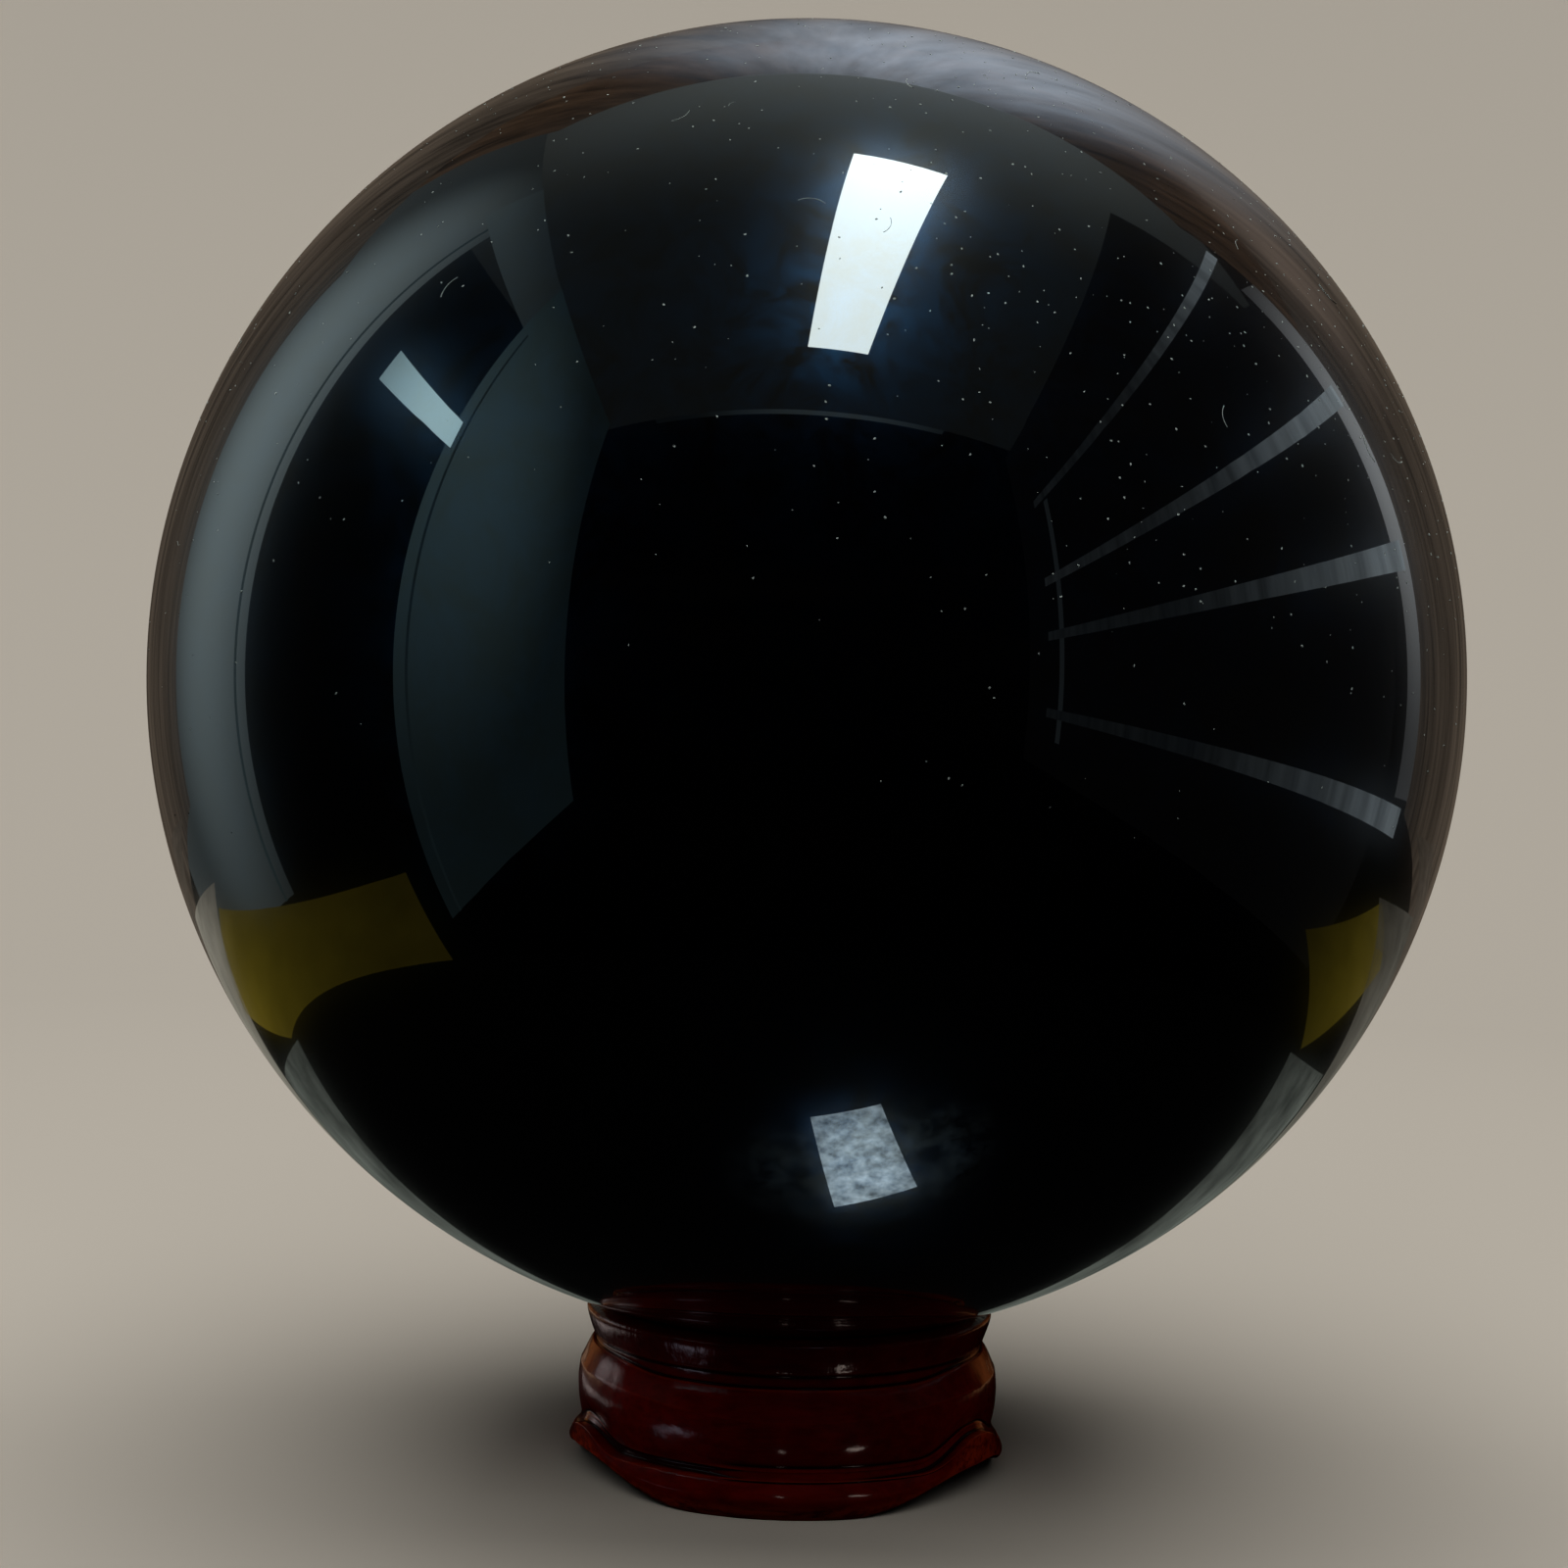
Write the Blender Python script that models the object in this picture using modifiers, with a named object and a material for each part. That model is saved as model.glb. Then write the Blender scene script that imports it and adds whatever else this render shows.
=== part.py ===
"""Obsidian sphere on its ring stand: a polished ball of black volcanic glass in a low ring of wood.
The ring was turned on a lathe, carved between its three feet and lacquered dark red.

Metres, +Z up. The origin lies on the table under the ball's centre, and the first foot points along -Y.
The ball and the stand are two separate pieces: the ball can be lifted out of its seat.
"""

import math

import bmesh
import bpy

MM = 0.001

# Ball
BALL_RADIUS = 75 * MM
BALL_SEGMENTS = 64
BALL_RINGS = 36

# Seat: a shallow dish that follows the ball, with the bore through its middle
SEAT_RADIUS = 21.6 * MM
SEAT_HEIGHT = 18.9 * MM
SEAT_GAP = 0.3 * MM
BORE_RADIUS = 16 * MM

# Rim: the band round the seat, with a narrow lip on top and an outer wall that leans in to a notch
RIM_RADIUS = 23.7 * MM
RIM_HEIGHT = 18.2 * MM
LIP_ROUND = 0.6 * MM
RIM_FOOT_RADIUS = 22.85 * MM
RIM_FOOT_HEIGHT = 15.5 * MM
NOTCH_RADIUS = 22.4 * MM
NOTCH_HEIGHT = 15.05 * MM
NOTCH_FLOOR_HEIGHT = 14.5 * MM

# Belly: a narrow ledge, a band that slopes steeper below its bend, a crisp edge, and a barrel that closes
# to the groove
SHOULDER_RADIUS = 22.9 * MM
SHOULDER_HEIGHT = 14.45 * MM
BAND_WIDENING = 0.46 * MM
BAND_DROP = 0.7 * MM
EDGE_RADIUS = 24.22 * MM
EDGE_HEIGHT = 11.9 * MM
BELLY_RADIUS = 24.45 * MM
BELLY_HEIGHT = 9.9 * MM
BARREL_DEPTH = 1.5 * MM
BARREL_REACH = 5.4 * MM
GROOVE_RADIUS = 23.4 * MM
GROOVE_HEIGHT = 5.15 * MM

# Over the front foot the shoulder and the belly's edge were cut lower, over this many degrees to each side
DIP_ANGLE = -86
SHOULDER_DIP = 0.75 * MM
SHOULDER_DIP_REACH = 60
SHOULDER_DIP_FADE = 24
EDGE_DIP = 1.4 * MM
EDGE_DIP_REACH = 64

# Skirt: the moulding that the feet are left standing from
SKIRT_TOP = 4.2 * MM
FOOT_RADIUS = 25.3 * MM
FOOT_HEIGHT = 2.4 * MM
SKIRT_BULGE = 1.3 * MM
HEEL_RADIUS = 24.85 * MM
HEEL_HEIGHT = 0.7 * MM
SOLE_RADIUS = 24.25 * MM

# Arches: a wide scoop under the skirt between each pair of feet, and over its middle a narrower lift of
# the skirt's top, its crest. Widths are half widths, measured straight across the arch. The arches are cut
# by hand, and so each has its own: angle from +X, width, crest's width, crest's rise.
ARCHES = (
    (math.radians(-27), 17.0 * MM, 9.0 * MM, 2.8 * MM),
    (math.radians(90), 14.6 * MM, 8.0 * MM, 2.4 * MM),
    (math.radians(-153), 16.2 * MM, 7.0 * MM, 2.0 * MM),
)
ARCH_RISE = 3.75 * MM
ARCH_CROWN = 2.2 * MM
ARCH_WALL_RADIUS = 24.0 * MM
CREST_CROWN = 0.8 * MM
CREST_FADE_HEIGHT = 10.5 * MM

STAND_STEPS = 90
WELD = 0.01 * MM
SMOOTH_ANGLE = math.radians(35)

# The seat lies SEAT_GAP off the ball, and so its edge gives the height of the ball's centre
SEAT_SPHERE = BALL_RADIUS + SEAT_GAP
BALL_CENTRE_HEIGHT = SEAT_HEIGHT + math.sqrt(SEAT_SPHERE**2 - SEAT_RADIUS**2)


def clear_scene():
    for old in list(bpy.data.objects):
        bpy.data.objects.remove(old, do_unlink=True)


def new_collection(name):
    collection = bpy.data.collections.new(name)
    bpy.context.scene.collection.children.link(collection)
    return collection


def new_object(name, mesh, collection):
    made = bpy.data.objects.new(name, mesh)
    collection.objects.link(made)
    return made


def surface_material(name, colour, roughness, coat):
    material = bpy.data.materials.new(name)
    material.use_nodes = True
    shader = material.node_tree.nodes["Principled BSDF"]
    shader.inputs["Base Color"].default_value = (*colour, 1)
    shader.inputs["Roughness"].default_value = roughness
    shader.inputs["Metallic"].default_value = 0
    shader.inputs["Coat Weight"].default_value = coat
    return material


def polished_obsidian():
    """Black volcanic glass with a mirror polish."""
    return surface_material("polished_obsidian", (0.003, 0.003, 0.004), 0.03, 0)


def red_lacquered_wood():
    """Dark red-brown stained wood under a thick clear gloss."""
    return surface_material("red_lacquered_wood", (0.13, 0.010, 0.006), 0.35, 1)


def arc(centre, radii, start, end, count):
    """Points along an elliptical arc, angles in degrees from the outward level."""
    points = []
    for step in range(count):
        angle = math.radians(start + (end - start) * step / (count - 1))
        radius = centre[0] + radii[0] * math.cos(angle)
        height = centre[1] + radii[1] * math.sin(angle)
        points.append((radius, height))
    return points


def seat_height(radius):
    """Height of the dished seat at that distance from the axis."""
    return BALL_CENTRE_HEIGHT - math.sqrt(SEAT_SPHERE**2 - radius**2)


def rim_profile():
    """From the seat's edge over the lip, down the leaning wall, to the notch."""
    lip_centre = (RIM_RADIUS - LIP_ROUND, RIM_HEIGHT)
    lip = arc(lip_centre, (LIP_ROUND, LIP_ROUND), 90, 0, 3)
    return [
        (SEAT_RADIUS, SEAT_HEIGHT),
        *lip,
        (RIM_FOOT_RADIUS, RIM_FOOT_HEIGHT),
        (NOTCH_RADIUS, NOTCH_HEIGHT),
    ]


def belly_profile():
    """From the notch's floor over the ledge, down the sloping band to its edge, and round the barrel."""
    shoulder = [
        (NOTCH_RADIUS, NOTCH_FLOOR_HEIGHT),
        (SHOULDER_RADIUS, SHOULDER_HEIGHT),
        (SHOULDER_RADIUS + BAND_WIDENING, SHOULDER_HEIGHT - BAND_DROP),
        (EDGE_RADIUS, EDGE_HEIGHT),
    ]
    barrel_centre = (BELLY_RADIUS - BARREL_DEPTH, BELLY_HEIGHT)
    barrel = arc(barrel_centre, (BARREL_DEPTH, BARREL_REACH), 0, -58, 6)
    return [*shoulder, *barrel, (GROOVE_RADIUS, GROOVE_HEIGHT)]


def skirt_profile():
    """From the groove over the bulging moulding, in under it to the heel, to the sole."""
    bulge_centre = (FOOT_RADIUS - SKIRT_BULGE, FOOT_HEIGHT)
    bulge = arc(bulge_centre, (SKIRT_BULGE, SKIRT_TOP - FOOT_HEIGHT), 90, -20, 5)
    return [*bulge, (HEEL_RADIUS, HEEL_HEIGHT), (SOLE_RADIUS, 0)]


def inner_profile():
    """From the sole in to the bore, up its wall, and out along the dished seat."""
    sole_width = SOLE_RADIUS - BORE_RADIUS
    sole = [(SOLE_RADIUS - sole_width * share, 0) for share in (1 / 3, 2 / 3, 1)]
    wall = [(BORE_RADIUS, CREST_FADE_HEIGHT), (BORE_RADIUS, seat_height(BORE_RADIUS))]
    middle = (BORE_RADIUS + SEAT_RADIUS) / 2
    return [*sole, *wall, (middle, seat_height(middle))]


def turned_blank(collection):
    """The ring as it comes off the lathe: one closed profile, turned once round the axis."""
    outline = rim_profile() + belly_profile() + skirt_profile() + inner_profile()
    points = [(radius, 0, height) for radius, height in outline]
    edges = [(i, (i + 1) % len(points)) for i in range(len(points))]
    mesh = bpy.data.meshes.new("wooden_stand_profile")
    mesh.from_pydata(points, edges, [])
    blank = new_object("wooden_stand_blank", mesh, collection)
    turn = blank.modifiers.new("turn", "SCREW")
    turn.axis = "Z"
    turn.angle = 2 * math.pi
    turn.steps = STAND_STEPS
    turn.render_steps = STAND_STEPS
    turn.use_merge_vertices = True
    turn.merge_threshold = WELD
    return blank


def ease(share):
    """0 to 1 with a soft start and end."""
    share = min(1, max(0, share))
    return share * share * (3 - 2 * share)


def across_arch(radius, angle, middle):
    """Distance of that point from an arch's middle line, measured straight across it."""
    turn = math.remainder(angle - middle, 2 * math.pi)
    return radius * math.sin(min(abs(turn), math.pi / 2))


def arch_lift(across, height, arch):
    """How far one arch raises a point, and its share of the full arch there."""
    _, width, crest_width, crest_rise = arch
    share = ease((width - across) / (width - ARCH_CROWN))
    crest = ease((crest_width - across) / (crest_width - CREST_CROWN)) * crest_rise
    if height < SKIRT_TOP:
        up = height / SKIRT_TOP
        return (1 - up) * share * ARCH_RISE + up * crest, share
    return crest * ease((CREST_FADE_HEIGHT - height) / (CREST_FADE_HEIGHT - SKIRT_TOP)), share


def carve_arches(mesh):
    """Raises the skirt between the feet, widely below and over the middle above, and sets it back."""
    for vertex in mesh.vertices:
        x, y, height = vertex.co
        if height >= CREST_FADE_HEIGHT:
            continue
        radius = math.hypot(x, y)
        angle = math.atan2(y, x)
        lifts = [arch_lift(across_arch(radius, angle, arch[0]), height, arch) for arch in ARCHES]
        lift, share = max(lifts)
        if height < GROOVE_HEIGHT:
            radius -= share * max(0, radius - ARCH_WALL_RADIUS)
        vertex.co = (radius * math.cos(angle), radius * math.sin(angle), height + lift)


def front_dip(angle, height):
    """How far a point of the belly was cut lower over the front foot."""
    turn = abs(math.remainder(math.degrees(angle) - DIP_ANGLE, 360))
    shoulder_dip = SHOULDER_DIP * ease((SHOULDER_DIP_REACH - turn) / SHOULDER_DIP_FADE)
    edge_dip = EDGE_DIP * ease(1 - turn / EDGE_DIP_REACH)
    if height > NOTCH_FLOOR_HEIGHT:
        return shoulder_dip * ease((NOTCH_HEIGHT - height) / (NOTCH_HEIGHT - NOTCH_FLOOR_HEIGHT))
    if height > EDGE_HEIGHT:
        share = (NOTCH_FLOOR_HEIGHT - height) / (NOTCH_FLOOR_HEIGHT - EDGE_HEIGHT)
        return shoulder_dip + (edge_dip - shoulder_dip) * share
    return edge_dip * ease((height - GROOVE_HEIGHT) / (EDGE_HEIGHT - GROOVE_HEIGHT))


def cut_front_dip(mesh):
    """Lowers the belly's two upper lines over the front foot. The bore and the seat stay as they are."""
    for vertex in mesh.vertices:
        x, y, height = vertex.co
        if math.hypot(x, y) > NOTCH_RADIUS - WELD and height > GROOVE_HEIGHT:
            vertex.co.z = height - front_dip(math.atan2(y, x), height)


def make_stand(collection):
    blank = turned_blank(collection)
    graph = bpy.context.evaluated_depsgraph_get()
    mesh = bpy.data.meshes.new_from_object(blank.evaluated_get(graph))
    bpy.data.objects.remove(blank, do_unlink=True)
    mesh.name = "wooden_stand"
    cut_front_dip(mesh)
    carve_arches(mesh)
    mesh.shade_smooth()
    mesh.set_sharp_from_angle(angle=SMOOTH_ANGLE)
    mesh.materials.append(red_lacquered_wood())
    return new_object("wooden_stand", mesh, collection)


def make_ball(collection):
    shape = bmesh.new()
    bmesh.ops.create_uvsphere(
        shape, u_segments=BALL_SEGMENTS, v_segments=BALL_RINGS, radius=BALL_RADIUS
    )
    mesh = bpy.data.meshes.new("obsidian_sphere")
    shape.to_mesh(mesh)
    shape.free()
    mesh.shade_smooth()
    mesh.materials.append(polished_obsidian())
    ball = new_object("obsidian_sphere", mesh, collection)
    ball.location.z = BALL_CENTRE_HEIGHT
    return ball


def main():
    clear_scene()
    collection = new_collection("obsidian_sphere_on_stand")
    make_stand(collection)
    make_ball(collection)


main()
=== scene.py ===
"""Obsidian ball on its lacquered ring stand: finished surfaces, dust, stage, lights and camera.

Laid out as an add-on. Run as a script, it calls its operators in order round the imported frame.
Metres, +Z up. The origin lies on the table under the ball, and the stand's first foot points along -Y.
"""

import math

import bpy
from bpy.props import FloatProperty, FloatVectorProperty, IntProperty, PointerProperty
from mathutils import Matrix, Vector, noise


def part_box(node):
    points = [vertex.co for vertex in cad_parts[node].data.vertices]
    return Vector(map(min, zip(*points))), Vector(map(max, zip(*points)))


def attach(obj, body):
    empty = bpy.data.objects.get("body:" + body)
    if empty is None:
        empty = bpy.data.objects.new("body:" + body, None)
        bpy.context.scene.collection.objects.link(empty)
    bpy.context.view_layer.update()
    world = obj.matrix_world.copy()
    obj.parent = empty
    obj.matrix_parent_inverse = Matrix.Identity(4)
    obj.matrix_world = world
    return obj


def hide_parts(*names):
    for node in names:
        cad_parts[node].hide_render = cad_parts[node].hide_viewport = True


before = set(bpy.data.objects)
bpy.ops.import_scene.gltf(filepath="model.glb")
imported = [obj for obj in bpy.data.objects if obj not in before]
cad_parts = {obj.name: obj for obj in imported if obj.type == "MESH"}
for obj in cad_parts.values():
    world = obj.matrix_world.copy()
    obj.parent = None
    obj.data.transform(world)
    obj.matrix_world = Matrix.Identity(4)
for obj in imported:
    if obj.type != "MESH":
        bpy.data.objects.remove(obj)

bl_info = {
    "name": "Obsidian ball on a ring stand",
    "version": (1, 0, 0),
    "blender": (4, 5, 0),
    "location": "3D View > Sidebar > Obsidian",
    "description": "Models a polished obsidian ball, the dust on it and its red lacquered ring stand",
    "category": "Object",
}

MM = 0.001
BALL_PIECES = ("polished_ball", "dust_and_lint")
STAND_PIECES = ("lacquered_stand",)
STAGE_PIECES = ("floor", "wall")

# The frame gives the ball's place and size
BALL_LOW, BALL_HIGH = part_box("obsidian_sphere")
BALL_CENTRE = (BALL_LOW + BALL_HIGH) / 2
BALL_RADIUS = (BALL_HIGH.z - BALL_LOW.z) / 2

# Where dust lies on the ball, by the parts of the surface's direction, from -1 to 1. Past the limit a speck
# would stick out of the ball's box
DUST_LOWEST = -0.35
DUST_FADE = 0.9
SWEPT_SHARE = 0.3
SWEPT_EDGE = -0.1
SWEPT_FADE = 0.6
PATCH_SCALE = 3.5
DUST_LIMIT = 0.996

# Stand, from the seat outwards and down: radius and height of each moulding
SEAT_RADIUS = 21.6 * MM
SEAT_CLEARANCE = 0.06 * MM
BORE_RADIUS = 16 * MM
RIM_RADIUS = 23.7 * MM
RIM_HEIGHT = 18.2 * MM
LIP_RADIUS = 0.6 * MM
RIM_FOOT_RADIUS = 22.85 * MM
RIM_FOOT_HEIGHT = 15.5 * MM
NOTCH_RADIUS = 22.4 * MM
NOTCH_HEIGHT = 15.05 * MM
NOTCH_FLOOR_HEIGHT = 14.5 * MM
SHOULDER_RADIUS = 22.9 * MM
SHOULDER_HEIGHT = 14.45 * MM
EDGE_RADIUS = 24.22 * MM
EDGE_HEIGHT = 11.9 * MM
BELLY_RADIUS = 24.45 * MM
BELLY_HEIGHT = 9.9 * MM
GROOVE_RADIUS = 23.4 * MM
GROOVE_HEIGHT = 5.15 * MM
SKIRT_TOP = 4.2 * MM
FOOT_RADIUS = 25.3 * MM
FOOT_HEIGHT = 2.4 * MM
HEEL_RADIUS = 24.85 * MM
HEEL_HEIGHT = 0.7 * MM
SOLE_RADIUS = 24.25 * MM

# Arches between the feet. Each has: angle from +X, half width, crest's half width, crest's rise
ARCHES = (
    (math.radians(-27), 17.0 * MM, 9.0 * MM, 2.8 * MM),
    (math.radians(90), 14.6 * MM, 8.0 * MM, 2.4 * MM),
    (math.radians(-153), 16.2 * MM, 7.0 * MM, 2.0 * MM),
)
ARCH_RISE = 3.75 * MM
ARCH_CROWN = 2.2 * MM
ARCH_WALL_RADIUS = 24.0 * MM
CREST_CROWN = 0.8 * MM
CREST_FADE_HEIGHT = 10.5 * MM
MOST_LIFT = 6 * MM

# Over the front foot the belly's two upper lines were cut lower, over this many degrees to each side
DIP_ANGLE = -86
SHOULDER_DIP = 0.75 * MM
SHOULDER_DIP_REACH = 60
SHOULDER_DIP_FADE = 24
EDGE_DIP = 1.4 * MM
EDGE_DIP_REACH = 64

# The groove under the belly is deep round this angle only. Elsewhere most of it was left uncut
GROOVE_ANGLE = -124
GROOVE_REACH = 12
GROOVE_FADE = 16
BELLY_END_RADIUS = 23.93 * MM
BELLY_END_HEIGHT = 5.7 * MM
SKIRT_TOP_RADIUS = 24.5 * MM
GROOVE_UNCUT = 0.88

# The lacquer is rubbed thin near the table and on the crests that rise the most. It is painted lighter there:
# wear, and a painted highlight for light that the feet catch from below
RUBBED_HEIGHT = 1.9 * MM
RUBBED_FADE = 1.4 * MM
RUBBED_LIFT = 1.5 * MM

# The carver's ripples start off the sole and outside the seat
RIPPLE_HEIGHT = 0.3 * MM
RIPPLE_HEIGHT_FADE = 2 * MM
RIPPLE_RADIUS = 22 * MM
RIPPLE_RADIUS_FADE = 1.2 * MM

# Light rig, from the ball's centre: height of its top, distance of the panels behind and of the stand's
# washes. The low cards lie a small gap over the table. A glow reaches far along an axis that it doesn't
# fade on
RIG_TOP = 1.6
REAR = 0.62
WASH_DISTANCE = 0.5
TABLE_GAP = 1 * MM
FAR = 9

# Camera, worked out from the ball's outline and the stand's rings
LENS_MM = 58.68
SENSOR_MM = 36
CAMERA_DISTANCE = 300 * MM
CAMERA_TURN = math.radians(3.1)
CAMERA_BELOW = math.radians(1.97)
AIM_LEFT = math.radians(0.42)
AIM_DOWN = math.radians(2.22)
CAMERA_ROLL = math.radians(1.5)


def linear(code):
    """Linear red, green, blue and alpha of an sRGB hex value."""
    values = []
    for start in (1, 3, 5):
        share = int(code[start : start + 2], 16) / 255
        values.append(share / 12.92 if share <= 0.04045 else ((share + 0.055) / 1.055) ** 2.4)
    return (*values, 1)


def colour(name, description, code):
    """A colour setting, with its default as sRGB hex."""
    return FloatVectorProperty(
        name=name, description=description, default=linear(code), subtype="COLOR", size=4, min=0, max=1
    )


def length(name, description, default):
    """A length setting, in metres."""
    return FloatProperty(name=name, description=description, default=default, unit="LENGTH", precision=5)


def node(tree, kind, inputs=None, **settings):
    """Adds a node. Settings are its properties, and inputs its sockets: each a value, a socket to link, or a
    node to link by its first output in use. Sockets with like names go by number: a colour mix has its share
    at 0 and its two colours at 6 and 7."""
    made = tree.nodes.new(kind)
    for name, value in settings.items():
        setattr(made, name, value)
    for name, value in (inputs or {}).items():
        if isinstance(value, bpy.types.Node):
            value = next(output for output in value.outputs if output.enabled)
        if isinstance(value, bpy.types.NodeSocket):
            tree.links.new(value, made.inputs[name])
        else:
            made.inputs[name].default_value = value
    return made


def new_material(name):
    """A material without nodes."""
    material = bpy.data.materials.new(name)
    material.use_nodes = True
    material.node_tree.nodes.clear()
    return material


def deselect_all():
    """Leaves edit mode and selects nothing."""
    if bpy.context.object and bpy.context.object.mode != "OBJECT":
        bpy.ops.object.mode_set(mode="OBJECT")
    bpy.ops.object.select_all(action="DESELECT")


def name_new(name):
    """Names the object that was just added, and its data."""
    made = bpy.context.object
    made.name = name
    made.data.name = name
    return made


def apply_modifiers(piece):
    """Applies the active piece's modifiers in their order."""
    for modifier in list(piece.modifiers):
        bpy.ops.object.modifier_apply(modifier=modifier.name)


def settle(piece):
    """Puts the piece's place into its mesh, so that its object sits at the origin."""
    bpy.ops.object.transform_apply(location=True, rotation=True, scale=True)
    if piece.matrix_world != Matrix.Identity(4):
        raise RuntimeError(f"{piece.name} isn't at the origin")


def ease(share):
    """0 to 1 with a soft start and end."""
    share = min(1, max(0, share))
    return share * share * (3 - 2 * share)


def arc(centre, radii, start, end, count):
    """Points along an elliptical arc, angles in degrees from the outward level."""
    points = []
    for step in range(count):
        angle = math.radians(start + (end - start) * step / (count - 1))
        points.append((centre[0] + radii[0] * math.cos(angle), centre[1] + radii[1] * math.sin(angle)))
    return points


def extrude_rings(profile):
    """Extrudes the level circle selected in edit mode to each point of a profile of radius and height."""
    radius, height = profile[0]
    for next_radius, next_height in profile[1:]:
        bpy.ops.mesh.extrude_region_move()
        scale = next_radius / radius
        bpy.ops.transform.resize(value=(scale, scale, 1), center_override=(0, 0, height))
        bpy.ops.transform.translate(value=(0, 0, next_height - height))
        radius, height = next_radius, next_height


class BallSettings(bpy.types.PropertyGroup):
    radius: length("Radius", "Radius of the ball", BALL_RADIUS)
    splits: IntProperty(name="Splits", description="Times that each edge is halved", default=5, min=1, max=6)
    waviness: length("Waviness", "Depth of the waves that hand polishing leaves", 0.012 * MM)
    glass: colour("Glass", "Colour of the black glass", "#010102")
    band: colour("Flow bands", "Colour of the faint bands that the lava's flow left", "#060403")
    haze: colour("Haze", "Colour of the haze round a lamp's reflection", "#30a8ff")


class DustSettings(bpy.types.PropertyGroup):
    grain_length: length("Grain length", "Mean length of a dust grain", 0.25 * MM)
    grains: FloatProperty(name="Grains", description="Grains per square metre at most", default=230000)
    hair_length: length("Hair length", "Mean length of a lint hair", 2.2 * MM)
    hairs: FloatProperty(name="Hairs", description="Hairs per square metre at most", default=5200)
    tint: colour("Dust", "Colour of the dust", "#c2c3bd")
    seed: IntProperty(name="Seed", description="Seed of the dust's places", default=7)


class StandSettings(bpy.types.PropertyGroup):
    segments: IntProperty(name="Segments", description="Segments round the ring", default=108, min=24)
    unevenness: length("Unevenness", "Height of the ripples that hand carving leaves", 0.2 * MM)
    # Hollows are painted this dark: painted shade in the grooves and notches, with the lacquer that pools
    # there
    pool: colour("Pooled lacquer", "Colour where the lacquer pools in a hollow", "#1c0203")
    deep: colour("Deep lacquer", "Colour of the darker clouds in the lacquer", "#560402")
    middle: colour("Lacquer", "Colour of the lighter clouds in the lacquer", "#7f0a04")
    # Edges and the feet's rubbed parts are painted this lighter red: painted highlights, with the lacquer
    # that runs thin there
    clear: colour("Thin lacquer", "Colour where the lacquer runs thin on an edge", "#a8330f")


class StageSettings(bpy.types.PropertyGroup):
    floor_radius: length("Floor radius", "Radius of the flat floor", 0.62)
    wall_curve: length("Wall curve", "Radius of the curve from the floor up into the wall", 1.3)
    floor: colour("Floor", "Colour of the floor and the wall round it", "#d8d5cf")
    lamp: FloatProperty(name="Lamp", description="Brightness of the overhead lamp", default=18)
    fill: FloatProperty(name="Fill", description="Brightness of the panels that light the floor", default=1.8)


class OBSIDIAN_OT_ball(bpy.types.Operator):
    """Ball of black volcanic glass, ground round and polished to a mirror"""

    bl_idname = "obsidian.ball"
    bl_label = "Obsidian ball"

    def execute(self, context):
        sizes = context.scene.obsidian_ball
        deselect_all()
        bpy.ops.mesh.primitive_cube_add(size=sizes.radius, location=BALL_CENTRE)
        ball = name_new("polished_ball")
        bpy.ops.object.mode_set(mode="EDIT")
        bpy.ops.mesh.select_all(action="SELECT")
        bpy.ops.mesh.subdivide(number_cuts=2)
        bpy.ops.transform.tosphere(value=1)
        for _ in range(sizes.splits):
            bpy.ops.mesh.subdivide(number_cuts=1)
            bpy.ops.transform.tosphere(value=1)
        bpy.ops.object.mode_set(mode="OBJECT")
        settle(ball)
        reach = max((vertex.co - BALL_CENTRE).length for vertex in ball.data.vertices)
        for vertex in ball.data.vertices:
            vertex.co = BALL_CENTRE + (vertex.co - BALL_CENTRE) * (sizes.radius / reach)
        waves = bpy.data.textures.new("polishing_waves", "CLOUDS")
        waves.noise_scale = 28 * MM
        wave = ball.modifiers.new("polishing_waves", "DISPLACE")
        wave.texture = waves
        wave.strength = sizes.waviness
        wave.mid_level = 1
        apply_modifiers(ball)
        bpy.ops.object.shade_smooth()
        ball.data.materials.append(polished_obsidian(sizes))
        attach(ball, "root")
        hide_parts("obsidian_sphere")
        return {"FINISHED"}


def polished_obsidian(sizes):
    """Obsidian, ground and polished to a mirror. The coat is the polish itself: sharp reflections over black.
    The layer under it is the faint bluish haze that fine scratches and smears leave. Its index is low, so it
    shows only as a mottled glow round a bright lamp's reflection and leaves the ball's edge clear."""
    material = new_material("obsidian_polished_to_a_mirror")
    tree = material.node_tree
    place = node(tree, "ShaderNodeTexCoord").outputs["Object"]
    stretched = node(
        tree, "ShaderNodeMapping", {"Vector": place, "Rotation": (0.5, 0.3, 0), "Scale": (1, 1, 6)}
    )
    flow = node(
        tree,
        "ShaderNodeTexNoise",
        {"Vector": stretched, "Scale": 1 / (60 * MM), "Detail": 6, "Distortion": 0.6},
    )
    banding = node(tree, "ShaderNodeMapRange", {"Value": flow, "From Min": 0.45, "From Max": 0.7})
    black = node(tree, "ShaderNodeMix", {0: banding, 6: sizes.glass, 7: sizes.band}, data_type="RGBA")
    smear = node(
        tree,
        "ShaderNodeTexNoise",
        {"Vector": place, "Scale": 1 / (7 * MM), "Detail": 10, "Roughness": 0.75, "Distortion": 0.5},
    )
    mottle = node(
        tree,
        "ShaderNodeMapRange",
        {"Value": smear, "From Min": 0.4, "From Max": 0.64, "To Min": 0, "To Max": 1.2},
    )
    haze = node(tree, "ShaderNodeMix", {0: mottle, 6: linear("#000000"), 7: sizes.haze}, data_type="RGBA")
    shader = node(
        tree,
        "ShaderNodeBsdfPrincipled",
        {
            "Base Color": black,
            "Roughness": 0.25,
            "IOR": 1.27,
            "Specular Tint": haze,
            "Coat Weight": 1,
            "Coat Roughness": 0.007,
            "Coat IOR": 1.49,
        },
    )
    node(tree, "ShaderNodeOutputMaterial", {"Surface": shader})
    return material


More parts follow.
